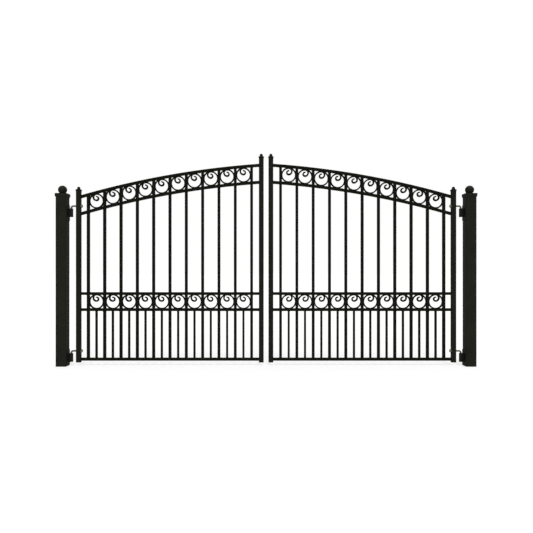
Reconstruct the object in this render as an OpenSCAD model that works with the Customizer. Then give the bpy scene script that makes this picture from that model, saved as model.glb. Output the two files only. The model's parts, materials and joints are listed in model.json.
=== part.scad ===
// Double-leaf driveway gate of square steel bar and tube, hung on J-bolt hinges between two posts.
// Millimetres. The origin is the middle of the left post's foot, at ground level.
// X runs along the closed gate to the right post, Y runs inwards through the opening, Z is up.
// The right half is the left half mirrored about the middle of the opening.

/* [Opening] */
// Width of one leaf over its two stiles
leaf_w = 1722; // [1400:2:2000]
// Gap between the two leaves when they are shut
meeting_gap = 44; // [20:1:80]
// Gap between a hinge stile and its post
hinge_gap = 79; // [70:1:120]
// Height of the leaves above the ground
ground_gap = 33; // [20:1:80]

/* [Posts] */
// Width of the square post
post_w = 95; // [70:1:120]
// Wall of the post's tube
post_wall = 4; // [3:0.5:8]
// Radius of the tube's outer corners
post_corner_r = 6; // [2:0.5:10]
// Height of the post above its upper hinge plate
post_above_plate = 63; // [20:1:200]
// Thickness of the plate that closes the post's foot
post_foot_t = 6; // [4:1:12]
// How far the cap stands out beyond the post on each side
cap_out = 5; // [3:0.25:14]
// Height of the cap's hollow flare
cap_flare_h = 12; // [8:1:20]
// Height of the cap's upright lip
cap_lip_h = 25; // [10:1:35]
// Diameter of the ball on the cap
post_ball_d = 80; // [50:1:90]
// How much of the ball is cut off flat where it stands on the cap
post_ball_seat = 5; // [1:0.5:8]

/* [Stiles] */
// Width of the stiles, seen from the front
stile_w = 44; // [30:1:60]
// Depth of the stiles, through the gate
stile_d = 30; // [20:1:40]
// Wall of the stiles' tube
stile_wall = 2; // [1.5:0.5:5]
// Radius of that tube's outer corners
stile_corner_r = 3; // [1:0.5:6]
// Height of the hinge stile, without its finial
hinge_stile_h = 1571; // [1400:1:1700]
// Height of the meeting stile, without its finial
meeting_stile_h = 1874; // [1750:1:2000]
// How far a finial's collar stands out beyond its stile on each side
collar_out = 3; // [1:0.5:6]
// Height of the collar's hollow flare
collar_flare_h = 5; // [4:1:15]
// Height of the collar's upright lip
collar_lip_h = 9; // [2:1:16]
// Diameter of a finial's ball
finial_ball_d = 30; // [15:1:36]
// How deep that ball is let into its collar
finial_ball_seat = 1.5; // [0.5:0.5:6]

/* [Rails] */
// Height of every rail, seen from the front
rail_h = 25; // [12:1:30]
// Metal left in a rail in front of the pickets that pierce it, and behind them
rail_cheek = 2.5; // [1.5:0.5:8]
// Height of the bottom rail's underside above the foot of the stiles
bottom_rail_up = 16; // [0:1:60]
// Gap between the two middle rails, where the lower row of rings seats
mid_band_h = 123; // [100:1:140]
// How far the hinge stile stands up past the top rail's upper edge
hinge_stile_above = 37; // [20:0.5:80]
// How far the meeting stile stands up past the top rail's upper edge
meeting_stile_above = 52; // [20:0.5:100]
// Radius of the top rail's upper edge
arch_r = 7950; // [5000:50:12000]

/* [Pickets] */
// Width of the square pickets
picket_w = 25; // [12:1:30]
// Number of pickets in a leaf
picket_count = 11; // [6:1:16]
// Distance from a stile to the middle of the nearest picket
end_bay = 67; // [40:1:100]
// Width of the square dog bars that halve the lower bays
dog_bar_w = 19; // [8:1:24]
// Height of the dog bars, from the bottom rail to the lower middle rail
dog_bar_h = 430; // [250:2:600]

/* [Scroll rings] */
// Thickness of the bar that the rings are bent from
ring_bar = 13; // [9:0.5:15]
// Depth of that bar, through the gate
ring_depth = 14; // [8:1:20]
// How much of a ring is flattened where it seats against each picket
ring_flat = 7.5; // [2:0.5:8]
// Radius of the scroll's outer half turn, at the middle of the bar
scroll_outer_r = 29; // [27:0.5:31]
// Radius of the scroll's inner half turn
scroll_inner_r = 17.5; // [14:0.5:18]
// Thickness of the scroll at its foot, where it is widest
scroll_bar = 16; // [10:0.5:18]
// Thickness of the scroll at its round tip
scroll_tip = 12; // [8:0.5:14]

/* [Hinges] */
// Diameter of the J-bolt's rod
rod_d = 16; // [12:1:18]
// Distance from the post's face to the hinge axis
axis_out = 33; // [30:1:44]
// Radius of the J-bolt's bend, at the middle of the rod
bend_r = 20; // [14:1:24]
// Room between the barrel and the start of that bend
bend_clear = 2; // [1:1:20]
// Height of the hinge stile's top above the upper J-bolt
upper_hinge_below = 136; // [60:1:500]
// Wall of the barrel that the J-bolt turns in
barrel_wall = 8.5; // [3:0.5:9]
// Height of the barrel
barrel_h = 78; // [50:1:100]
// Thickness of the web that joins the barrel to its plate
web_t = 12; // [6:1:20]
// Height of the plate on the post
plate_h = 150; // [110:1:200]
// Thickness of that plate
plate_t = 6; // [4:0.5:10]
// How far the plate's edges lie inside the post's edges
plate_inset = 7; // [2:1:15]
// Radius of the plate's corners
plate_corner_r = 14; // [6:1:25]
// Height of the lower plate above the ground
plate_low_z = 2; // [1:1:40]
// Width of the J-bolt's nut across its flats
nut_w = 24; // [24:1:30]
// Height of the nut
nut_h = 13; // [8:1:18]
// How far the rod stands out of the nut
rod_tail = 2; // [1:1:12]

/* [Fits] */
// Room round a picket in the rails that it pierces
hole_clear = 0.3; // [0.1:0.1:1]
// Gap that the weld fills where two shaped pieces meet
weld_gap = 0.3; // [0.1:0.1:0.5]
// Running clearance of the J-bolt in its barrel, all round
pin_clear = 0.06; // [0.02:0.02:0.1]

/* [Hidden] */
$fn = 96;
arch_fn = 1440;
black = "#24241e";
zinc = "#6c6b5a";
past = 1;
// Taller than any piece, for cuts that run out at the top
past_top = 2 * meeting_stile_h;

// Places along the gate
leaf_x = post_w / 2 + hinge_gap;
gate_mid = leaf_x + leaf_w + meeting_gap / 2;
axis_x = post_w / 2 + axis_out;
rail_x = leaf_x + stile_w;
rail_len = leaf_w - 2 * stile_w;
meeting_x = rail_x + rail_len;
picket_pitch = (rail_len - 2 * end_bay) / (picket_count - 1);
bay_w = picket_pitch - picket_w;
bay_count = picket_count - 1;
function picket_x(i) = rail_x + end_bay + i * picket_pitch;
function bay_x(i) = picket_x(i) + picket_pitch / 2;

// Heights of the straight rails' undersides
bottom_rail_z = ground_gap + bottom_rail_up;
picket_foot_z = bottom_rail_z + rail_h;
lower_mid_z = picket_foot_z + dog_bar_h;
upper_mid_z = lower_mid_z + rail_h + mid_band_h;
mid_ring_z = upper_mid_z - mid_band_h / 2;

// The arch: a circle through the top rail's two ends
rail_d = picket_w + 2 * rail_cheek;
arch_low_z = ground_gap + hinge_stile_h - hinge_stile_above;
arch_high_z = ground_gap + meeting_stile_h - meeting_stile_above;
arch_climb = arch_high_z - arch_low_z;
arch_chord = norm([rail_len, arch_climb]);
arch_sink = sqrt(arch_r ^ 2 - (arch_chord / 2) ^ 2);
arch_x = rail_x + rail_len / 2 + arch_sink * arch_climb / arch_chord;
arch_z = (arch_low_z + arch_high_z) / 2 - arch_sink * rail_len / arch_chord;
// The second arched rail lies far enough below that a ring fits at the steepest bay
steepest = asin((arch_x - rail_x) / arch_r);
arch_drop = (bay_w + rail_h) / cos(steepest);
function arc_height(r, x) = sqrt(r ^ 2 - (x - arch_x) ^ 2);
function upper_ring_z(x) =
    arch_z + (arc_height(arch_r - rail_h, x) + arc_height(arch_r, x) - arch_drop) / 2;

// Rings and scrolls
ring_outer_r = bay_w / 2 + ring_flat;
ring_inner_r = ring_outer_r - ring_bar;
ring_seat_w = bay_w - 2 * weld_gap;
// Height of the scroll's head above the middle of its ring
scroll_head_up = ring_outer_r - ring_bar / 2 - weld_gap;

// Hinges
pin_r = rod_d / 2;
barrel_drop = bend_r + bend_clear;
barrel_r = pin_r + pin_clear + barrel_wall;
plate_d = post_w - 2 * plate_inset;
hinge_low_z = plate_low_z + (plate_h + barrel_h) / 2 + barrel_drop;
hinge_high_z = ground_gap + hinge_stile_h - upper_hinge_below;
function hinge_z(level) = level == "upper" ? hinge_high_z : hinge_low_z;
function barrel_z(level) = hinge_z(level) - barrel_drop - barrel_h;
function plate_z(level) = barrel_z(level) + (barrel_h - plate_h) / 2;
post_h = plate_z("upper") + plate_h + post_above_plate;

// Puts a piece of the left half in its place on either side
module on(side) {
    if (side == "right")
        translate([2 * gate_mid, 0, 0]) mirror([1, 0, 0]) children();
    else
        children();
}

// Rectangle with round corners, about its middle
module round_rect(w, d, r) {
    square([w - 2 * r, d], center = true);
    square([w, d - 2 * r], center = true);
    for (x = [-1, 1], y = [-1, 1])
        translate([x * (w / 2 - r), y * (d / 2 - r)]) circle(r);
}

// Hollow of a tube, whose inner corners are round too, however thick its wall is
module tube_hollow(w, d, wall, r) {
    round_rect(w - 2 * wall, d - 2 * wall, max(r - wall, wall / 4));
}

// Outline of a cap with a hollow flare below an upright lip
module flare_outline(w, out, flare_h, lip_h) {
    flare_r = (out ^ 2 + flare_h ^ 2) / (2 * out);
    difference() {
        translate([-w / 2 - out, 0]) square([w + 2 * out, flare_h + lip_h]);
        for (side = [-1, 1])
            translate([side * (w / 2 + flare_r), 0]) circle(flare_r);
    }
}

// Four-sided flared cap, mitred at its corners
module flared_cap(w, d, out, flare_h, lip_h) {
    intersection() {
        rotate([90, 0, 0])
            linear_extrude(d + 2 * out, center = true) flare_outline(w, out, flare_h, lip_h);
        rotate([90, 0, 90])
            linear_extrude(w + 2 * out, center = true) flare_outline(d, out, flare_h, lip_h);
    }
}

// Square tube, closed by a plate at the ground and by the cap above
module post() {
    color(black) difference() {
        linear_extrude(post_h) round_rect(post_w, post_w, post_corner_r);
        translate([0, 0, post_foot_t])
            linear_extrude(post_h) tube_hollow(post_w, post_w, post_wall, post_corner_r);
    }
}

module post_cap() {
    color(black) translate([0, 0, post_h]) flared_cap(post_w, post_w, cap_out, cap_flare_h, cap_lip_h);
}

// Ball with a small flat, on which it stands on the cap
module post_ball() {
    cap_top = post_h + cap_flare_h + cap_lip_h;
    color(black) translate([0, 0, cap_top]) intersection() {
        translate([0, 0, post_ball_d / 2 - post_ball_seat]) sphere(d = post_ball_d);
        translate([-post_ball_d, -post_ball_d, 0]) cube(2 * post_ball_d);
    }
}

// Flat plate with round corners, on the side of the post that faces the leaf
module hinge_plate(level) {
    color(black)
        translate([post_w / 2, 0, plate_z(level) + plate_h / 2])
        rotate([90, 0, 90]) linear_extrude(plate_t) round_rect(plate_d, plate_h, plate_corner_r);
}

// Barrel on a web, bored for the J-bolt's upright leg
module hinge_barrel(level) {
    web_x = post_w / 2 + plate_t;
    color(black) difference() {
        translate([0, 0, barrel_z(level)]) {
            translate([axis_x, 0, 0]) cylinder(r = barrel_r, h = barrel_h);
            translate([web_x, -web_t / 2, 0]) cube([axis_x - web_x, web_t, barrel_h]);
        }
        translate([axis_x, 0, barrel_z(level) - past])
            cylinder(r = pin_r + pin_clear, h = barrel_h + 2 * past);
    }
}

// Rod that comes level through the hinge stile and bends down into the barrel
module j_bolt(level) {
    leg_x = axis_x + bend_r;
    leg_end = rail_x + nut_h + rod_tail;
    pin_end = barrel_z(level) + rod_tail;
    bend_z = hinge_z(level) - bend_r;
    color(zinc) {
        translate([axis_x, 0, pin_end]) cylinder(r = pin_r, h = bend_z - pin_end);
        translate([leg_x, 0, bend_z]) rotate([90, 0, 0]) rotate([0, 0, 90])
            rotate_extrude(angle = 90) translate([bend_r, 0]) circle(pin_r);
        translate([leg_x, 0, hinge_z(level)]) rotate([0, 90, 0])
            cylinder(r = pin_r, h = leg_end - leg_x);
    }
}

// Hexagon nuts that hold the two J-bolts against the inside of the hinge stile
module hinge_nuts() {
    color(zinc)
        for (level = ["upper", "lower"])
            translate([rail_x, 0, hinge_z(level)]) rotate([0, 90, 0]) difference() {
                cylinder(d = nut_w / cos(30), h = nut_h, $fn = 6);
                translate([0, 0, -past]) cylinder(r = pin_r + pin_clear, h = nut_h + 2 * past);
            }
}

// Rectangular tube, open at its foot and closed above by its finial
module stile(x, h) {
    translate([x + stile_w / 2, 0, ground_gap]) linear_extrude(h) difference() {
        round_rect(stile_w, stile_d, stile_corner_r);
        tube_hollow(stile_w, stile_d, stile_wall, stile_corner_r);
    }
}

// Bored through both walls for the J-bolts
module hinge_stile() {
    color(black) difference() {
        stile(leaf_x, hinge_stile_h);
        for (level = ["upper", "lower"])
            translate([leaf_x - past, 0, hinge_z(level)]) rotate([0, 90, 0])
                cylinder(r = pin_r + hole_clear, h = stile_w + 2 * past);
    }
}

module meeting_stile() {
    color(black) stile(meeting_x, meeting_stile_h);
}

// Collar and ball in one piece, on top of each stile
module stile_finials() {
    tops = [[leaf_x, hinge_stile_h], [meeting_x, meeting_stile_h]];
    collar_h = collar_flare_h + collar_lip_h;
    color(black)
        for (top = tops)
            translate([top.x + stile_w / 2, 0, ground_gap + top.y]) {
                flared_cap(stile_w, stile_d, collar_out, collar_flare_h, collar_lip_h);
                translate([0, 0, collar_h + finial_ball_d / 2 - finial_ball_seat])
                    sphere(d = finial_ball_d);
            }
}

// Curved band along the arch, from one radius to another, lowered, and wide enough to cover a span of X
module arch_band(x_from, x_to, r_from, r_to, lower) {
    first = min(acos((x_to - arch_x) / r_from), acos((x_to - arch_x) / r_to));
    last = max(acos((x_from - arch_x) / r_from), acos((x_from - arch_x) / r_to));
    translate([arch_x, 0, arch_z - lower]) rotate([90, 0, 0]) rotate([0, 0, first])
        rotate_extrude(angle = last - first, $fn = arch_fn)
        translate([r_from, -rail_d]) square([r_to - r_from, 2 * rail_d]);
}

// Curved bar between the stiles, its ends cut upright
module arched_bar(lower) {
    intersection() {
        arch_band(rail_x - past, meeting_x + past, arch_r - rail_h, arch_r, lower);
        translate([rail_x, -rail_d / 2, upper_mid_z]) cube([rail_len, rail_d, past_top]);
    }
}

// Square holes that the pickets pass through
module picket_holes() {
    hole_w = picket_w + 2 * hole_clear;
    for (i = [0 : picket_count - 1])
        translate([picket_x(i) - hole_w / 2, -hole_w / 2, picket_foot_z])
            cube([hole_w, hole_w, past_top]);
}

module straight_rail(z) {
    translate([rail_x, -rail_d / 2, z]) cube([rail_len, rail_d, rail_h]);
}

module top_rail() {
    color(black) arched_bar(0);
}

module arch_rail() {
    color(black) difference() {
        arched_bar(arch_drop);
        picket_holes();
    }
}

module upper_mid_rail() {
    color(black) difference() {
        straight_rail(upper_mid_z);
        picket_holes();
    }
}

module lower_mid_rail() {
    color(black) difference() {
        straight_rail(lower_mid_z);
        picket_holes();
    }
}

module bottom_rail() {
    color(black) straight_rail(bottom_rail_z);
}

// Bars that stand on the bottom rail, their heads cut to the curve of the top rail
module pickets() {
    color(black)
        for (i = [0 : picket_count - 1])
            difference() {
                translate([picket_x(i) - picket_w / 2, -picket_w / 2, picket_foot_z])
                    cube([picket_w, picket_w, arch_z + arc_height(arch_r, picket_x(i)) - picket_foot_z]);
                arch_band(picket_x(i) - picket_w, picket_x(i) + picket_w,
                    arch_r - rail_h - weld_gap, arch_r + rail_h, 0);
            }
}

// Thin bars between the pickets, below the middle rails
module dog_bars() {
    color(black)
        for (i = [0 : bay_count - 1])
            translate([bay_x(i) - dog_bar_w / 2, -dog_bar_w / 2, picket_foot_z])
                cube([dog_bar_w, dog_bar_w, dog_bar_h]);
}

// Left half of a turn of the scroll's bar, which widens from its head to its foot
module half_turn(r, head_w, foot_w) {
    mean_half = (head_w + foot_w) / 4;
    shift = (foot_w - head_w) / 4;
    intersection() {
        difference() {
            translate([0, -shift]) circle(r + mean_half);
            translate([0, shift]) circle(r - mean_half);
        }
        translate([-2 * r, -2 * r]) square([2 * r, 4 * r]);
    }
}

// Ring with a scroll that leaves it at the top, sweeps round to its foot and curls up to a round tip
module scroll_ring() {
    rotate([90, 0, 0]) linear_extrude(ring_depth, center = true) {
        difference() {
            circle(ring_outer_r);
            circle(ring_inner_r);
        }
        translate([0, scroll_head_up - scroll_outer_r]) {
            half_turn(scroll_outer_r, ring_bar, scroll_bar);
            translate([0, scroll_inner_r - scroll_outer_r]) {
                mirror([1, 0]) half_turn(scroll_inner_r, scroll_tip, scroll_bar);
                translate([0, scroll_inner_r]) circle(scroll_tip / 2);
            }
        }
    }
}

// Rings between the top rail and the second arched rail, flattened where they seat
module upper_rings() {
    color(black)
        for (i = [0 : bay_count - 1])
            difference() {
                translate([bay_x(i), 0, upper_ring_z(bay_x(i))]) intersection() {
                    scroll_ring();
                    cube([ring_seat_w, 2 * rail_d, 2 * ring_outer_r + 2 * past], center = true);
                }
                arch_band(picket_x(i), picket_x(i + 1), arch_r - rail_h - weld_gap, arch_r + ring_bar, 0);
                arch_band(picket_x(i), picket_x(i + 1),
                    arch_r - rail_h - ring_bar, arch_r + weld_gap, arch_drop);
            }
}

// Rings between the two middle rails, flattened where they seat
module lower_rings() {
    color(black)
        for (i = [0 : bay_count - 1])
            translate([bay_x(i), 0, mid_ring_z]) intersection() {
                scroll_ring();
                cube([ring_seat_w, 2 * rail_d, mid_band_h - 2 * weld_gap], center = true);
            }
}

on("left") post();  // left_post
on("right") post();  // right_post
on("left") post_cap();  // left_post_cap
on("right") post_cap();  // right_post_cap
on("left") post_ball();  // left_post_ball
on("right") post_ball();  // right_post_ball
on("left") hinge_plate("upper");  // left_upper_hinge_plate
on("left") hinge_plate("lower");  // left_lower_hinge_plate
on("right") hinge_plate("upper");  // right_upper_hinge_plate
on("right") hinge_plate("lower");  // right_lower_hinge_plate
on("left") hinge_barrel("upper");  // left_upper_hinge_barrel
on("left") hinge_barrel("lower");  // left_lower_hinge_barrel
on("right") hinge_barrel("upper");  // right_upper_hinge_barrel
on("right") hinge_barrel("lower");  // right_lower_hinge_barrel
on("left") j_bolt("upper");  // left_upper_j_bolt
on("left") j_bolt("lower");  // left_lower_j_bolt
on("right") j_bolt("upper");  // right_upper_j_bolt
on("right") j_bolt("lower");  // right_lower_j_bolt
on("left") hinge_nuts();  // left_hinge_nuts
on("right") hinge_nuts();  // right_hinge_nuts
on("left") hinge_stile();  // left_hinge_stile
on("right") hinge_stile();  // right_hinge_stile
on("left") meeting_stile();  // left_meeting_stile
on("right") meeting_stile();  // right_meeting_stile
on("left") stile_finials();  // left_stile_finials
on("right") stile_finials();  // right_stile_finials
on("left") top_rail();  // left_top_rail
on("right") top_rail();  // right_top_rail
on("left") arch_rail();  // left_arch_rail
on("right") arch_rail();  // right_arch_rail
on("left") upper_mid_rail();  // left_upper_mid_rail
on("right") upper_mid_rail();  // right_upper_mid_rail
on("left") lower_mid_rail();  // left_lower_mid_rail
on("right") lower_mid_rail();  // right_lower_mid_rail
on("left") bottom_rail();  // left_bottom_rail
on("right") bottom_rail();  // right_bottom_rail
on("left") pickets();  // left_pickets
on("right") pickets();  // right_pickets
on("left") dog_bars();  // left_dog_bars
on("right") dog_bars();  // right_dog_bars
on("left") upper_rings();  // left_upper_rings
on("right") upper_rings();  // right_upper_rings
on("left") lower_rings();  // left_lower_rings
on("right") lower_rings();  // right_lower_rings
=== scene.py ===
import json
import math

import bmesh
import bpy
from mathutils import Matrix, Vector
from mathutils.bvhtree import BVHTree


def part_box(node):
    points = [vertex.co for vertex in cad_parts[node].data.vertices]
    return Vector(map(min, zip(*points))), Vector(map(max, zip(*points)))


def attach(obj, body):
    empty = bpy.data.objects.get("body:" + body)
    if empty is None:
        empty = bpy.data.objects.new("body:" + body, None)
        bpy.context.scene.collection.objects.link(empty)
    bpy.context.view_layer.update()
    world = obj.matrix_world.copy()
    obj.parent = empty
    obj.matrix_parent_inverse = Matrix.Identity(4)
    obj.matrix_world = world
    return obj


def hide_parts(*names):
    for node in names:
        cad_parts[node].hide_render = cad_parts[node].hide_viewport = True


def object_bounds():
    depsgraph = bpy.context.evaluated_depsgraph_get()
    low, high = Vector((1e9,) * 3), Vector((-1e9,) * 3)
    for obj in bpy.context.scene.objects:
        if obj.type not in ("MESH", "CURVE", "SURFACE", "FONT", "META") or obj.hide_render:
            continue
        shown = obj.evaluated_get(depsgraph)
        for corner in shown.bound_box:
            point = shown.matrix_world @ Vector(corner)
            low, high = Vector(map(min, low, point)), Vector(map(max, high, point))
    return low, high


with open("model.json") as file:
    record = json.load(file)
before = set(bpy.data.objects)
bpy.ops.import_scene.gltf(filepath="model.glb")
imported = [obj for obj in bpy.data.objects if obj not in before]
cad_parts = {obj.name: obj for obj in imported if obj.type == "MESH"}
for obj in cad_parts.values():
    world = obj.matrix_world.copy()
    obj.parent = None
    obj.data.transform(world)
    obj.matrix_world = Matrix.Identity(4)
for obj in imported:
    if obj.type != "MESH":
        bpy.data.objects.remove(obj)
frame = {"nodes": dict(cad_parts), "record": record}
cad_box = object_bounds()


# Posts
# Each post is a square steel tube with the round corners of cold-formed section. It is blasted,
# primed and powder coated satin black in one go, so a faint orange peel runs over every face.
SIDES = ("left", "right")


def place(tree, kind, inputs=None, **settings):
    """Adds a node to a tree. An input is a plain value, or an output of another node."""
    made = tree.nodes.new(kind)
    for name, value in settings.items():
        setattr(made, name, value)
    for key, value in (inputs or {}).items():
        if isinstance(value, bpy.types.NodeSocket):
            tree.links.new(value, made.inputs[key])
        else:
            made.inputs[key].default_value = value
    return made


def node_group(kind, name, inputs, outputs):
    """Starts a node group with named sockets, and returns it with its input and output nodes."""
    tree = bpy.data.node_groups.new(name, kind)
    for in_out, sockets in (("INPUT", inputs), ("OUTPUT", outputs)):
        for socket_name, socket_kind in sockets.items():
            tree.interface.new_socket(socket_name, in_out=in_out, socket_type=socket_kind)
    return tree, tree.nodes.new("NodeGroupInput"), tree.nodes.new("NodeGroupOutput")


def mix_colours(tree, share, first, second):
    """Colour between two others, by a share from 0 to 1."""
    factor_socket, first_socket, second_socket, colour_output = 0, 6, 7, 2
    mixed = place(tree, "ShaderNodeMix", data_type="RGBA", inputs={
        factor_socket: share, first_socket: first, second_socket: second})
    return mixed.outputs[colour_output]


def scaled(tree, value, low, high, new_low, new_high):
    """A value carried from one span to another, held at its ends."""
    spread = place(tree, "ShaderNodeMapRange", inputs={
        "Value": value, "From Min": low, "From Max": high, "To Min": new_low, "To Max": new_high})
    return spread.outputs["Result"]


def worked(tree, operation, first, second):
    """Result of one piece of arithmetic on two values."""
    return place(tree, "ShaderNodeMath", operation=operation, inputs={0: first, 1: second}).outputs[0]


# The coat's own skin: slow clouds of tone, and the close orange peel of melted powder
CLOUD_DETAIL = 5.0
CLOUD_ROUGHNESS = 0.62
CLOUD_LOW = 0.3
CLOUD_HIGH = 0.7
PEEL_DETAIL = 1.5
PEEL_ROUGHNESS = 0.4
coat_skin, skin_in, skin_out = node_group(
    "ShaderNodeTree", "coat_skin",
    {"Place": "NodeSocketVector", "Cloud Scale": "NodeSocketFloat", "Peel Scale": "NodeSocketFloat"},
    {"Cloud": "NodeSocketFloat", "Peel": "NodeSocketFloat"})
clouds = place(coat_skin, "ShaderNodeTexNoise", inputs={
    "Vector": skin_in.outputs["Place"], "Scale": skin_in.outputs["Cloud Scale"],
    "Detail": CLOUD_DETAIL, "Roughness": CLOUD_ROUGHNESS})
peel = place(coat_skin, "ShaderNodeTexNoise", inputs={
    "Vector": skin_in.outputs["Place"], "Scale": skin_in.outputs["Peel Scale"],
    "Detail": PEEL_DETAIL, "Roughness": PEEL_ROUGHNESS})
cloud = scaled(coat_skin, clouds.outputs["Fac"], CLOUD_LOW, CLOUD_HIGH, 0.0, 1.0)
coat_skin.links.new(cloud, skin_out.inputs["Cloud"])
coat_skin.links.new(peel.outputs["Fac"], skin_out.inputs["Peel"])

# Dust that lies on faces that look up, broken into drifts. It thickens from the steepest face that holds
# any to those that are nearly level.
# Turned up to a high share, as on the post balls, the same mask is a painted highlight on their upper
# faces.
DUST_FULL_FROM = 0.95
DRIFT_DETAIL = 6.0
DRIFT_LOW = 0.35
DRIFT_HIGH = 0.7
DRIFT_LEAST = 0.15
settled_dust_and_painted_highlight, dust_highlight_in, dust_highlight_out = node_group(
    "ShaderNodeTree", "settled_dust_and_painted_highlight",
    {"Place": "NodeSocketVector", "Facing": "NodeSocketVector", "Steepest": "NodeSocketFloat",
     "Drift Scale": "NodeSocketFloat"},
    {"Dust And Highlight": "NodeSocketFloat"})
facing = place(settled_dust_and_painted_highlight, "ShaderNodeSeparateXYZ", inputs={0: dust_highlight_in.outputs["Facing"]})
drift = place(settled_dust_and_painted_highlight, "ShaderNodeTexNoise", inputs={
    "Vector": dust_highlight_in.outputs["Place"], "Scale": dust_highlight_in.outputs["Drift Scale"], "Detail": DRIFT_DETAIL})
dust_and_highlight_mask = worked(
    settled_dust_and_painted_highlight, "MULTIPLY",
    scaled(settled_dust_and_painted_highlight, facing.outputs["Z"], dust_highlight_in.outputs["Steepest"], DUST_FULL_FROM, 0.0, 1.0),
    scaled(settled_dust_and_painted_highlight, drift.outputs["Fac"], DRIFT_LOW, DRIFT_HIGH, DRIFT_LEAST, 1.0))
settled_dust_and_painted_highlight.links.new(dust_and_highlight_mask, dust_highlight_out.inputs["Dust And Highlight"])

COAT_SPECULAR = 0.0
COAT_GLAZE = 0.09
COAT_CLOUD_SCALE = 9.0
COAT_DARK_GAIN = 0.82
COAT_LIGHT_GAIN = 1.18
COAT_EDGE_GAIN = 1.5
COAT_ROUGHNESS_SPREAD = 0.06
COAT_EDGE_POLISH = 0.1
COAT_PEEL_STRENGTH = 0.6
COAT_WEAR_LOW = 0.2
COAT_WEAR_HIGH = 0.8
COAT_WEAR_LEAST = 0.1
COAT_DUST_AND_HIGHLIGHT = (0.085, 0.08, 0.068)
COAT_DUST_SHARE = 0.08
COAT_DUST_STEEPEST = 0.45
COAT_DRIFT_SCALE = 14.0


def coated(name, tone, roughness, peel_scale, peel_depth, dust_and_highlight_share=COAT_DUST_SHARE,
           dust_and_highlight_steepest=COAT_DUST_STEEPEST):
    """Satin black powder coat over steel, clouded, dusty on top (a painted highlight on top where the
    share is high) and polished along the arrises.
    """
    material = bpy.data.materials.new(name)
    material.use_nodes = True
    tree = material.node_tree
    surface = tree.nodes["Principled BSDF"]
    surface.inputs["Specular IOR Level"].default_value = COAT_SPECULAR
    surface.inputs["Coat Weight"].default_value = COAT_GLAZE
    surface.inputs["Coat Roughness"].default_value = roughness
    here = place(tree, "ShaderNodeTexCoord")
    skin = place(tree, "ShaderNodeGroup", node_tree=coat_skin, inputs={
        "Place": here.outputs["Object"], "Cloud Scale": COAT_CLOUD_SCALE, "Peel Scale": peel_scale})
    dust_and_highlight = place(tree, "ShaderNodeGroup", node_tree=settled_dust_and_painted_highlight, inputs={
        "Place": here.outputs["Object"], "Facing": here.outputs["Normal"], "Steepest": dust_and_highlight_steepest,
        "Drift Scale": COAT_DRIFT_SCALE})
    arris = place(tree, "ShaderNodeAttribute", attribute_name="arris")
    wear = scaled(tree, skin.outputs["Cloud"], COAT_WEAR_LOW, COAT_WEAR_HIGH, COAT_WEAR_LEAST, 1.0)
    worn = worked(tree, "MULTIPLY", arris.outputs["Fac"], wear)
    dark, light, edge = (
        [gain * part for part in tone] + [1.0]
        for gain in (COAT_DARK_GAIN, COAT_LIGHT_GAIN, COAT_EDGE_GAIN))
    colour = mix_colours(tree, skin.outputs["Cloud"], dark, light)
    colour = mix_colours(tree, worn, colour, edge)
    # Dust on faces that look up; at a high share, as on the post balls, this is a painted highlight on
    # their tops.
    lying_dust_and_highlight = worked(tree, "MULTIPLY", dust_and_highlight.outputs["Dust And Highlight"], dust_and_highlight_share)
    colour = mix_colours(tree, lying_dust_and_highlight, colour, (*COAT_DUST_AND_HIGHLIGHT, 1.0))
    tree.links.new(colour, surface.inputs["Base Color"])
    rough = scaled(tree, skin.outputs["Cloud"], 0.0, 1.0,
                   roughness - COAT_ROUGHNESS_SPREAD, roughness + COAT_ROUGHNESS_SPREAD)
    rough = worked(tree, "SUBTRACT", rough, worked(tree, "MULTIPLY", worn, COAT_EDGE_POLISH))
    tree.links.new(rough, surface.inputs["Roughness"])
    bump = place(tree, "ShaderNodeBump", inputs={
        "Height": skin.outputs["Peel"], "Distance": peel_depth, "Strength": COAT_PEEL_STRENGTH})
    tree.links.new(bump.outputs["Normal"], surface.inputs["Normal"])
    return material


MERGE_WITHIN = 2e-6
FLAT_WITHIN = math.radians(0.05)
SHARP_FROM = math.radians(32)


def plain_mesh(piece):
    """Turns what a piece's modifiers make into its own mesh, and takes the modifiers off."""
    seen = bpy.context.evaluated_depsgraph_get()
    made = bpy.data.meshes.new_from_object(
        piece.evaluated_get(seen), preserve_all_data_layers=True, depsgraph=seen)
    piece.modifiers.clear()
    piece.data = made


def body_of(node):
    """Name of the body that a node moves with."""
    bodies = frame["record"]["behaviour"]["bodies"]
    return next(body for body, members in bodies.items() if node in members)


def whole_faces(node):
    """A node's shape with its loose triangles joined into whole faces."""
    shape = bmesh.new()
    shape.from_mesh(frame["nodes"][node].data)
    bmesh.ops.remove_doubles(shape, verts=shape.verts, dist=MERGE_WITHIN)
    bmesh.ops.dissolve_limit(shape, angle_limit=FLAT_WITHIN, verts=shape.verts, edges=shape.edges)
    return shape


def is_sharp(edge):
    """True where two faces meet at an arris."""
    return edge.calc_face_angle(0.0) > SHARP_FROM


def new_piece(name, shape):
    """Object with the mesh of a shape, which it uses up."""
    mesh = bpy.data.meshes.new(name)
    shape.to_mesh(mesh)
    shape.free()
    piece = bpy.data.objects.new(name, mesh)
    bpy.context.collection.objects.link(piece)
    return piece


def stand_in(piece, node):
    """Puts a finished piece in a node's place, on the node's body."""
    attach(piece, body_of(node))
    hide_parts(node)


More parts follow.
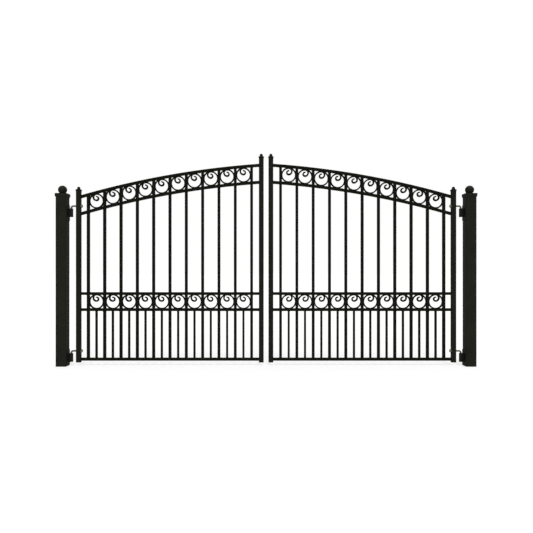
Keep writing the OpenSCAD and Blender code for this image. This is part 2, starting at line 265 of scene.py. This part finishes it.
def dressed(node, finish, material, arris, steps=2):
    """Stands a piece with softened arrises in for a node, and gives it its finish."""
    shape = whole_faces(node)
    rounded = bmesh.ops.bevel(
        shape, geom=[edge for edge in shape.edges if is_sharp(edge)], offset=arris,
        offset_type="OFFSET", segments=steps, profile=0.5, affect="EDGES", clamp_overlap=True)
    thin = shape.verts.layers.float.new("arris")
    round_faces = set(rounded["faces"])
    for point in rounded["verts"]:
        if point.is_valid and all(face in round_faces for face in point.link_faces):
            point[thin] = 1.0
    for face in shape.faces:
        face.smooth = True
    piece = new_piece(f"{node}_{finish}", shape)
    piece.data.materials.append(material)
    piece.modifiers.new("flat faces stay flat", "WEIGHTED_NORMAL")
    plain_mesh(piece)
    stand_in(piece, node)


POST_TONE = (0.0174, 0.0185, 0.013)
coat_on_post = coated("coat_on_post", POST_TONE, roughness=0.33, peel_scale=420.0, peel_depth=0.00025)
for side in SIDES:
    dressed(f"{side}_post", "coated", coat_on_post, arris=0.001)


# Post caps and balls
# Each post is closed by a cast cap with a hollow flare under an upright lip. A round steel ball
# stands on it, welded at its foot, and both carry the post's coat over a slightly coarser skin.
# The ball's coat is painted a little lighter and warmer than the post's, and lighter still on its
# upper faces: a painted highlight.
BALL_TONE_WITH_PAINTED_HIGHLIGHT = (0.019, 0.0199, 0.0128)
# The balls' upward mask is turned far past dust: their upper faces are painted lighter, a painted
# highlight, with the coat's light dust in it.
BALL_PAINTED_HIGHLIGHT_SHARE = 0.9
BALL_PAINTED_HIGHLIGHT_STEEPEST = 0.3
coat_on_cap = coated("coat_on_cap", POST_TONE, roughness=0.36, peel_scale=260.0, peel_depth=0.0004)
# The ball's own tone is the post's coat painted lighter and warmer, as a painted highlight.
coat_with_painted_highlight_on_ball = coated("coat_with_painted_highlight_on_ball", BALL_TONE_WITH_PAINTED_HIGHLIGHT, roughness=0.36, peel_scale=260.0, peel_depth=0.0004,
                      dust_and_highlight_share=BALL_PAINTED_HIGHLIGHT_SHARE, dust_and_highlight_steepest=BALL_PAINTED_HIGHLIGHT_STEEPEST)
for side in SIDES:
    dressed(f"{side}_post_cap", "coated", coat_on_cap, arris=0.0012)
    dressed(f"{side}_post_ball", "coated", coat_with_painted_highlight_on_ball, arris=0.0008)


# Hinge plates and barrels
# Flame-cut steel plates with round corners are welded to the posts. Each carries a turned barrel
# on a web, and the leaf's J-bolt drops into the barrel's bore.
LEVELS = ("upper", "lower")
PLATE_TONE = (0.0164, 0.0174, 0.0124)
coat_on_plate = coated("coat_on_plate", PLATE_TONE, roughness=0.33, peel_scale=420.0, peel_depth=0.00025)
for side in SIDES:
    for level in LEVELS:
        for part in ("hinge_plate", "hinge_barrel"):
            dressed(f"{side}_{level}_{part}", "coated", coat_on_plate, arris=0.001)


# J-bolts and nuts
# Round steel rod, bent to a J and zinc plated. The level leg is threaded, passes through the hinge
# stile and is drawn up by a hexagon nut, and the upright leg turns in the barrel.
ZINC_DULL = (0.084, 0.083, 0.057)
ZINC_CLEAN = (0.143, 0.141, 0.1)
ZINC_CLOUD_SCALE = 60.0
ZINC_PEEL_SCALE = 900.0
ZINC_PEEL_DEPTH = 0.0001
ZINC_PEEL_STRENGTH = 0.5
ZINC_SMOOTHEST = 0.36
ZINC_ROUGHEST = 0.52


def zinc_plate(name, brightness):
    """Zinc plating, clouded and slightly yellowed by its passivation."""
    material = bpy.data.materials.new(name)
    material.use_nodes = True
    tree = material.node_tree
    surface = tree.nodes["Principled BSDF"]
    surface.inputs["Metallic"].default_value = 1.0
    here = place(tree, "ShaderNodeTexCoord")
    skin = place(tree, "ShaderNodeGroup", node_tree=coat_skin, inputs={
        "Place": here.outputs["Object"], "Cloud Scale": ZINC_CLOUD_SCALE, "Peel Scale": ZINC_PEEL_SCALE})
    dull, clean = ([brightness * part for part in tone] + [1.0] for tone in (ZINC_DULL, ZINC_CLEAN))
    colour = mix_colours(tree, skin.outputs["Cloud"], dull, clean)
    tree.links.new(colour, surface.inputs["Base Color"])
    rough = scaled(tree, skin.outputs["Cloud"], 0.0, 1.0, ZINC_SMOOTHEST, ZINC_ROUGHEST)
    tree.links.new(rough, surface.inputs["Roughness"])
    bump = place(tree, "ShaderNodeBump", inputs={
        "Height": skin.outputs["Peel"], "Distance": ZINC_PEEL_DEPTH, "Strength": ZINC_PEEL_STRENGTH})
    tree.links.new(bump.outputs["Normal"], surface.inputs["Normal"])
    return material


def finished(tree, geometry, finish, result):
    """Ends a geometry tree: shaded smooth, with real faces instead of instances, and its finish."""
    smooth = place(tree, "GeometryNodeSetShadeSmooth", inputs={"Geometry": geometry, "Shade Smooth": True})
    real = place(tree, "GeometryNodeRealizeInstances", inputs={"Geometry": smooth.outputs["Geometry"]})
    done = place(tree, "GeometryNodeSetMaterial", inputs={
        "Geometry": real.outputs["Geometry"], "Material": finish})
    tree.links.new(done.outputs["Geometry"], result)


# A rod swept along its path, with a ridge wound round the part of it that is threaded
ROD_ROUND_STEPS = 32
WINDING_STEPS = 24
RIDGE_SIDES = 4
threaded_rod, rod_in, rod_out = node_group(
    "GeometryNodeTree", "threaded_rod",
    {"Path": "NodeSocketGeometry", "Thread Start": "NodeSocketVector", "Turns": "NodeSocketFloat",
     "Pitch": "NodeSocketFloat", "Ridge Radius": "NodeSocketFloat", "Ridge Height": "NodeSocketFloat",
     "Finish": "NodeSocketMaterial"},
    {"Rod": "NodeSocketGeometry"})
rod_path = place(threaded_rod, "GeometryNodeMeshToCurve", inputs={"Mesh": rod_in.outputs["Path"]})
rod_radius = place(threaded_rod, "GeometryNodeInputNamedAttribute", data_type="FLOAT", inputs={
    "Name": "rod_radius"})
rod_round = place(threaded_rod, "GeometryNodeCurvePrimitiveCircle", inputs={
    "Resolution": ROD_ROUND_STEPS, "Radius": 1.0})
rod_body = place(threaded_rod, "GeometryNodeCurveToMesh", inputs={
    "Curve": rod_path.outputs["Curve"], "Profile Curve": rod_round.outputs["Curve"],
    "Scale": rod_radius.outputs["Attribute"], "Fill Caps": True})
winding = place(threaded_rod, "GeometryNodeCurveSpiral", inputs={
    "Resolution": WINDING_STEPS, "Rotations": rod_in.outputs["Turns"],
    "Start Radius": rod_in.outputs["Ridge Radius"], "End Radius": rod_in.outputs["Ridge Radius"],
    "Height": worked(threaded_rod, "MULTIPLY", rod_in.outputs["Turns"], rod_in.outputs["Pitch"])})
winding = place(threaded_rod, "GeometryNodeSetCurveNormal", mode="Z_UP", inputs={
    "Curve": winding.outputs["Curve"]})
ridge_outline = place(threaded_rod, "GeometryNodeCurvePrimitiveCircle", inputs={
    "Resolution": RIDGE_SIDES, "Radius": rod_in.outputs["Ridge Height"]})
ridge = place(threaded_rod, "GeometryNodeCurveToMesh", inputs={
    "Curve": winding.outputs["Curve"], "Profile Curve": ridge_outline.outputs["Curve"], "Fill Caps": True})
thread_start = place(threaded_rod, "GeometryNodePoints", inputs={
    "Count": 1, "Position": rod_in.outputs["Thread Start"]})
thread = place(threaded_rod, "GeometryNodeInstanceOnPoints", inputs={
    "Points": thread_start.outputs["Points"], "Instance": ridge.outputs["Mesh"],
    "Rotation": (0.0, math.radians(90), 0.0)})
rod = place(threaded_rod, "GeometryNodeJoinGeometry")
threaded_rod.links.new(rod_body.outputs["Mesh"], rod.inputs[0])
threaded_rod.links.new(thread.outputs["Instances"], rod.inputs[0])
finished(threaded_rod, rod.outputs["Geometry"], rod_in.outputs["Finish"], rod_out.inputs["Rod"])


def grown(piece, tree, values):
    """Runs a node tree on a piece, with a value for each named input, and keeps the mesh it makes."""
    run = piece.modifiers.new(tree.name, "NODES")
    run.node_group = tree
    for socket in tree.interface.items_tree:
        if socket.in_out == "INPUT" and socket.name in values:
            run[socket.identifier] = values[socket.name]
    piece.modifiers.new("flat faces stay flat", "WEIGHTED_NORMAL")
    plain_mesh(piece)


THREAD_PITCH = 0.002
THREAD_DEPTH = 0.0012
THREAD_PAST_STILE = 0.012
ROD_CHAMFER = 0.0015
ROD_BEND_R = 0.02
BEND_STEPS = 12


def j_bolt(side, level, finish):
    """Rod that stands in the barrel, bends level, and is threaded through the stile to its end."""
    node = f"{side}_{level}_j_bolt"
    low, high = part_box(node)
    stile_low, stile_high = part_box(f"{side}_hinge_stile")
    radius = (high.y - low.y) / 2
    inwards = 1 if side == "left" else -1
    pin_x, end_x = (low.x + radius, high.x) if side == "left" else (high.x - radius, low.x)
    outer_face = stile_low.x if side == "left" else stile_high.x
    level_z = high.z - radius
    bend = Vector((pin_x + inwards * ROD_BEND_R, 0.0, level_z - ROD_BEND_R))
    thread_from = outer_face - inwards * THREAD_PAST_STILE
    core = radius - THREAD_DEPTH
    path = [((pin_x, 0.0, low.z), radius - ROD_CHAMFER), ((pin_x, 0.0, low.z + ROD_CHAMFER), radius)]
    for step in range(BEND_STEPS + 1):
        turn = math.radians(90) * step / BEND_STEPS
        path.append((bend + ROD_BEND_R * Vector((-inwards * math.cos(turn), 0.0, math.sin(turn))), radius))
    path += [
        ((thread_from - inwards * THREAD_DEPTH, 0.0, level_z), radius),
        ((thread_from, 0.0, level_z), core),
        ((end_x - inwards * ROD_CHAMFER, 0.0, level_z), core),
        ((end_x, 0.0, level_z), core - ROD_CHAMFER)]
    shape = bmesh.new()
    thickness = shape.verts.layers.float.new("rod_radius")
    points = []
    for position, point_radius in path:
        point = shape.verts.new(position)
        point[thickness] = point_radius
        points.append(point)
    for before, after in zip(points, points[1:]):
        shape.edges.new((before, after))
    piece = new_piece(f"{node}_plated", shape)
    thread_length = abs(end_x - thread_from) - 2 * ROD_CHAMFER
    grown(piece, threaded_rod, {
        "Thread Start": (min(thread_from, end_x) + ROD_CHAMFER, 0.0, level_z),
        "Turns": thread_length / THREAD_PITCH, "Pitch": THREAD_PITCH,
        "Ridge Radius": core, "Ridge Height": THREAD_DEPTH, "Finish": finish})
    stand_in(piece, node)


NUT_ROUND_STEPS = 72
NUT_HALF_FLAT = math.radians(30)
NUT_SHARP_FROM = math.radians(20)
NUT_CHAMFER_RISE = 1.73
NUT_CHAMFER_LEVELS = (0.0, 0.25, 0.5, 0.75, 1.0)
NUT_BORE_CHAMFER = 0.0007


def solids_of(node):
    """Points of each separate solid of a node."""
    shape = whole_faces(node)
    met, solids = set(), []
    for start in shape.verts:
        reached, spots = [start], []
        while reached:
            point = reached.pop()
            if point not in met:
                met.add(point)
                spots.append(point.co.copy())
                reached += [edge.other_vert(point) for edge in point.link_edges]
        if spots:
            solids.append(spots)
    shape.free()
    return solids


def corners(spots):
    """Lowest and highest corner of the box round some points."""
    return [Vector([pick(spot[axis] for spot in spots) for axis in range(3)]) for pick in (min, max)]


def skinned(shape, loops):
    """Faces between each ring of points and the next."""
    for before, after in zip(loops, loops[1:]):
        for step in range(len(before)):
            further = (step + 1) % len(before)
            shape.faces.new((before[step], before[further], after[further], after[step]))


def smoothed(shape, sharp_from):
    """Turns the faces outwards and shades them smooth, apart from edges that are sharp."""
    bmesh.ops.recalc_face_normals(shape, faces=shape.faces)
    for face in shape.faces:
        face.smooth = True
    for edge in shape.edges:
        edge.smooth = edge.calc_face_angle(0.0) < sharp_from


def hexagon_nuts(side, finish):
    """Nuts on the level legs, with the corners of both ends turned off to a cone."""
    node = f"{side}_hinge_nuts"
    bolt_low, bolt_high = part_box(f"{side}_upper_j_bolt")
    bore = (bolt_high.y - bolt_low.y) / 2
    shape = bmesh.new()
    for spots in solids_of(node):
        low, high = corners(spots)
        middle = (low + high) / 2
        height = high.x - low.x
        flat_r = (high.y - low.y) / 2
        cone_h = (flat_r / math.cos(NUT_HALF_FLAT) - flat_r) / NUT_CHAMFER_RISE
        cone = [(cone_h * share, flat_r + NUT_CHAMFER_RISE * cone_h * share)
                for share in NUT_CHAMFER_LEVELS]
        rims = [(NUT_BORE_CHAMFER, bore), (0.0, bore + NUT_BORE_CHAMFER)] + cone
        rims += [(height - at, radius) for at, radius in reversed(rims)]
        loops = []
        for at, radius in rims:
            loop = []
            for step in range(NUT_ROUND_STEPS):
                angle = 2 * math.pi * step / NUT_ROUND_STEPS
                off_flat = (angle + NUT_HALF_FLAT) % (2 * NUT_HALF_FLAT) - NUT_HALF_FLAT
                reach = min(radius, flat_r / math.cos(off_flat))
                loop.append(shape.verts.new(
                    (low.x + at, middle.y + reach * math.cos(angle), middle.z + reach * math.sin(angle))))
            loops.append(loop)
        skinned(shape, loops + loops[:1])
    smoothed(shape, NUT_SHARP_FROM)
    piece = new_piece(f"{node}_plated", shape)
    piece.data.materials.append(finish)
    stand_in(piece, node)


zinc_on_rod = zinc_plate("zinc_on_rod", brightness=1.0)
zinc_on_nut = zinc_plate("zinc_on_nut", brightness=1.9)
for side in SIDES:
    for level in LEVELS:
        j_bolt(side, level, zinc_on_rod)
    hexagon_nuts(side, zinc_on_nut)


# Stiles and finials
# The uprights of each leaf are rectangular steel tubes. A cast finial closes the top of each one:
# a collar with a hollow shoulder that rises to a small ball.
STILE_TONE = (0.0138, 0.0147, 0.0098)
coat_on_stile = coated("coat_on_stile", STILE_TONE, roughness=0.33, peel_scale=420.0, peel_depth=0.00025)
for side in SIDES:
    for part in ("hinge_stile", "meeting_stile", "stile_finials"):
        dressed(f"{side}_{part}", "coated", coat_on_stile, arris=0.0008)

SHOULDER_H = 0.0085
SHOULDER_HOLLOW = 0.4
SHOULDER_INSET = 0.001
SHOULDER_SINK = 0.0005
SHOULDER_LEVELS = 6
SHOULDER_ROUND_STEPS = 48


def finial_shoulders(side, finish):
    """Slightly hollow slopes that rise from the edge of each collar to its ball."""
    node = f"{side}_stile_finials"
    shape = bmesh.new()
    for spots in solids_of(node):
        low, high = corners(spots)
        middle, half = (low + high) / 2, (high - low) / 2
        collar_top = max(spot.z for spot in spots if abs(spot.x - middle.x) > half.x - SHOULDER_INSET)
        ball_r = max(abs(spot.y - middle.y) for spot in spots if spot.z > collar_top + SHOULDER_SINK)
        above_middle = collar_top + SHOULDER_H - (high.z - ball_r)
        ball_reach = math.sqrt(ball_r ** 2 - above_middle ** 2)
        rims = [(collar_top - SHOULDER_SINK, 1.0)]
        for step in range(SHOULDER_LEVELS + 1):
            rise = step / SHOULDER_LEVELS
            rims.append((collar_top + SHOULDER_H * rise, (1 - rise) * (1 - SHOULDER_HOLLOW * rise)))
        loops = []
        for height, share in rims:
            loop = []
            for step in range(SHOULDER_ROUND_STEPS):
                angle = 2 * math.pi * (step + 0.5) / SHOULDER_ROUND_STEPS
                across, through = math.cos(angle), math.sin(angle)
                edge_reach = min(
                    (half.x - SHOULDER_INSET) / abs(across), (half.y - SHOULDER_INSET) / abs(through))
                reach = ball_reach + (edge_reach - ball_reach) * share
                loop.append(shape.verts.new(
                    (middle.x + reach * across, middle.y + reach * through, height)))
            loops.append(loop)
        skinned(shape, loops)
        shape.faces.new(reversed(loops[0]))
        shape.faces.new(loops[-1])
    smoothed(shape, SHARP_FROM)
    piece = new_piece(f"{side}_finial_shoulders_coated", shape)
    piece.data.materials.append(finish)
    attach(piece, body_of(node))


for side in SIDES:
    finial_shoulders(side, coat_on_stile)


# Rails
# Square steel tubes, welded in between the stiles: two rolled to the curve of the arch, and three
# straight ones. All but the top and bottom ones are pierced for the pickets.
BAR_TONE = (0.0066, 0.0069, 0.0036)
coat_on_bar = coated("coat_on_bar", BAR_TONE, roughness=0.33, peel_scale=420.0, peel_depth=0.0002)
RAILS = ("top_rail", "arch_rail", "upper_mid_rail", "lower_mid_rail", "bottom_rail")
for side in SIDES:
    for part in RAILS:
        dressed(f"{side}_{part}", "coated", coat_on_bar, arris=0.001)


# Pickets and dog bars
# Square steel tubes that stand on the bottom rail, welded where they meet a rail. The pickets run
# up to the arch, and the thinner dog bars halve the lower bays.
for side in SIDES:
    for part in ("pickets", "dog_bars"):
        dressed(f"{side}_{part}", "coated", coat_on_bar, arris=0.0009)


# Scroll rings
# Flat bar, bent hot into a ring with a scroll inside it, and set in between pickets and rails.
# The hammer leaves its edges rounder than those of the tubes.
FORGING_TONE = (0.0071, 0.0074, 0.0039)
coat_on_forging = coated(
    "coat_on_forging", FORGING_TONE, roughness=0.36, peel_scale=180.0, peel_depth=0.0005)
for side in SIDES:
    for part in ("upper_rings", "lower_rings"):
        dressed(f"{side}_{part}", "coated", coat_on_forging, arris=0.0016, steps=3)


# Welds
# Every joint is run round with a small fillet weld before coating: uneven beads in the corners
# between bars, rails, rings, stiles and posts, under the same black skin.
BEAD_SIDES = 6
LUMP_SCALE = 160.0
LUMP_DETAIL = 2.0
LUMP_LOW = 0.3
LUMP_HIGH = 0.7
weld_bead, bead_in, bead_out = node_group(
    "GeometryNodeTree", "weld_bead",
    {"Seams": "NodeSocketGeometry", "Bead Radius": "NodeSocketFloat", "Ripple Length": "NodeSocketFloat",
     "Unevenness": "NodeSocketFloat", "Seed": "NodeSocketFloat", "Finish": "NodeSocketMaterial"},
    {"Beads": "NodeSocketGeometry"})
seam_run = place(weld_bead, "GeometryNodeMeshToCurve", inputs={"Mesh": bead_in.outputs["Seams"]})
seam_run = place(weld_bead, "GeometryNodeResampleCurve", mode="LENGTH", inputs={
    "Curve": seam_run.outputs["Curve"], "Length": bead_in.outputs["Ripple Length"]})
spot = place(weld_bead, "GeometryNodeInputPosition")
lumps = place(weld_bead, "ShaderNodeTexNoise", noise_dimensions="4D", inputs={
    "Vector": spot.outputs["Position"], "W": bead_in.outputs["Seed"],
    "Scale": LUMP_SCALE, "Detail": LUMP_DETAIL})
swell = scaled(weld_bead, lumps.outputs["Fac"], LUMP_LOW, LUMP_HIGH, -1.0, 1.0)
swell = worked(weld_bead, "MULTIPLY", swell, bead_in.outputs["Unevenness"])
swell = worked(weld_bead, "ADD", swell, 1.0)
bead_round = place(weld_bead, "GeometryNodeCurvePrimitiveCircle", inputs={
    "Resolution": BEAD_SIDES, "Radius": 1.0})
beads = place(weld_bead, "GeometryNodeCurveToMesh", inputs={
    "Curve": seam_run.outputs["Curve"], "Profile Curve": bead_round.outputs["Curve"],
    "Scale": worked(weld_bead, "MULTIPLY", swell, bead_in.outputs["Bead Radius"]), "Fill Caps": True})
finished(weld_bead, beads.outputs["Mesh"], bead_in.outputs["Finish"], bead_out.inputs["Beads"])

BEAD_RADIUS = 0.0019
BEAD_RIPPLE = 0.004
BEAD_UNEVENNESS = 0.22
BEAD_SEED = 7.0
CLOSE_BY = 0.00046
CLOSE_BY_ROUND_CORNER = 0.0014
UPRIGHT_FROM = 0.7


def seams_between(node, others, within, across_only=False):
    """Sharp edges of a node that lie on one of the others, as pairs of points."""
    meshes = [frame["nodes"][other].data for other in others]
    trees = [BVHTree.FromPolygons([point.co for point in mesh.vertices],
                                  [face.vertices for face in mesh.polygons]) for mesh in meshes]
    shape = whole_faces(node)
    seams = []
    for edge in shape.edges:
        first, last = (point.co for point in edge.verts)
        runs_up = abs(last.z - first.z) > UPRIGHT_FROM * (last - first).length
        if not is_sharp(edge) or (across_only and runs_up):
            continue
        spots = (first, last, (first + last) / 2)
        if any(all(tree.find_nearest(spot, within)[0] for spot in spots) for tree in trees):
            seams.append((first.copy(), last.copy()))
    shape.free()
    return seams


def welded(body, seams, finish):
    """One piece with the beads of all seams on a body."""
    shape = bmesh.new()
    for seam in seams:
        shape.edges.new([shape.verts.new(spot) for spot in seam])
    bmesh.ops.remove_doubles(shape, verts=shape.verts, dist=MERGE_WITHIN)
    piece = new_piece(f"{body}_welds", shape)
    grown(piece, weld_bead, {
        "Bead Radius": BEAD_RADIUS, "Ripple Length": BEAD_RIPPLE, "Unevenness": BEAD_UNEVENNESS,
        "Seed": BEAD_SEED, "Finish": finish})
    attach(piece, body)


post_seams = []
for side in SIDES:
    post_seams += seams_between(f"{side}_post_ball", [f"{side}_post_cap"], CLOSE_BY)
    for level in LEVELS:
        plate = f"{side}_{level}_hinge_plate"
        post_seams += seams_between(plate, [f"{side}_post"], CLOSE_BY)
        post_seams += seams_between(f"{side}_{level}_hinge_barrel", [plate], CLOSE_BY)
welded("posts", post_seams, coat_on_plate)

for side in SIDES:
    top, arch, upper_mid, lower_mid, bottom = rails = [f"{side}_{part}" for part in RAILS]
    pickets = f"{side}_pickets"
    stiles = [f"{side}_hinge_stile", f"{side}_meeting_stile"]
    leaf_seams = []
    for rail in rails:
        leaf_seams += seams_between(rail, stiles, CLOSE_BY_ROUND_CORNER)
    for rail in (arch, upper_mid, lower_mid):
        leaf_seams += seams_between(rail, [pickets], CLOSE_BY, across_only=True)
    leaf_seams += seams_between(pickets, [top, bottom], CLOSE_BY)
    leaf_seams += seams_between(f"{side}_dog_bars", [lower_mid, bottom], CLOSE_BY)
    leaf_seams += seams_between(f"{side}_upper_rings", [pickets, top, arch], CLOSE_BY)
    leaf_seams += seams_between(f"{side}_lower_rings", [pickets, upper_mid, lower_mid], CLOSE_BY)
    welded(f"{side}_leaf", leaf_seams, coat_on_bar)


# Floor and backdrop
# A plain studio floor that runs out to a white background. It glows where the eye sees it, by itself
# or mirrored in metal, so that it looks white and still keeps the gate's shadow.
scene = bpy.context.scene
low, high = cad_box
middle = (low + high) / 2


def looked_at(tree):
    """1 where the background is seen, by itself or in metal and glass, and 0 for light on the gate."""
    ray = place(tree, "ShaderNodeLightPath")
    mirrored = worked(tree, "MAXIMUM", ray.outputs["Is Glossy Ray"], ray.outputs["Is Transmission Ray"])
    return worked(tree, "MAXIMUM", ray.outputs["Is Camera Ray"], mirrored)


FLOOR_REACH = 60.0
FLOOR_TONE = (0.55, 0.55, 0.55, 1.0)
FLOOR_GLOW = 0.64
floor_mesh = bpy.data.meshes.new("floor")
floor_mesh.from_pydata(
    [(middle.x + x * FLOOR_REACH, middle.y + y * FLOOR_REACH, low.z)
     for x, y in ((-1, -1), (1, -1), (1, 1), (-1, 1))], [], [(0, 1, 2, 3)])
floor = bpy.data.objects.new("floor", floor_mesh)
scene.collection.objects.link(floor)
floor_white = bpy.data.materials.new("floor_white")
floor_white.use_nodes = True
tree = floor_white.node_tree
tree.nodes.remove(tree.nodes["Principled BSDF"])
paint = place(tree, "ShaderNodeBsdfDiffuse", inputs={"Color": FLOOR_TONE})
glow = place(tree, "ShaderNodeEmission", inputs={
    "Color": (1.0, 1.0, 1.0, 1.0), "Strength": worked(tree, "MULTIPLY", looked_at(tree), FLOOR_GLOW)})
both = place(tree, "ShaderNodeAddShader", inputs={0: paint.outputs[0], 1: glow.outputs[0]})
tree.links.new(both.outputs[0], tree.nodes["Material Output"].inputs["Surface"])
floor_mesh.materials.append(floor_white)


# Light
# A room of even light, which is seen as white, and one broad soft lamp that shines down from above
# and behind the camera.
ROOM_LEVEL = 0.55
ROOM_SEEN = 1.0
world = bpy.data.worlds.new("white_room")
scene.world = world
world.use_nodes = True
tree = world.node_tree
room = tree.nodes["Background"]
room.inputs["Color"].default_value = (1.0, 1.0, 1.0, 1.0)
room_level = scaled(tree, looked_at(tree), 0.0, 1.0, ROOM_LEVEL, ROOM_SEEN)
tree.links.new(room_level, room.inputs["Strength"])

LAMP_LEVEL = 1.1
LAMP_SPREAD = math.radians(18)
LAMP_FROM = Vector((0.1, -0.73, 0.68))
lamp = bpy.data.lights.new("soft_lamp", "SUN")
lamp.energy = LAMP_LEVEL
lamp.angle = LAMP_SPREAD
lamp_object = bpy.data.objects.new("soft_lamp", lamp)
lamp_object.location = middle + LAMP_FROM
lamp_object.rotation_euler = (-LAMP_FROM).to_track_quat("-Z", "Y").to_euler()
scene.collection.objects.link(lamp_object)


# Camera
# It stands level in front of the meeting stiles, and its height and distance are those at which
# the bars fall where the photograph has them.
CAMERA_PLACE = Vector((1.8745, -4.9, 0.913))
CAMERA_LENS = 36.0
CAMERA_SENSOR = 36.0
eye = bpy.data.cameras.new("camera")
eye.lens = CAMERA_LENS
eye.sensor_width = CAMERA_SENSOR
camera = bpy.data.objects.new("camera", eye)
camera.location = CAMERA_PLACE
camera.rotation_euler = (math.radians(90), 0.0, 0.0)
scene.collection.objects.link(camera)
scene.camera = camera
scene.view_settings.view_transform = "Standard"
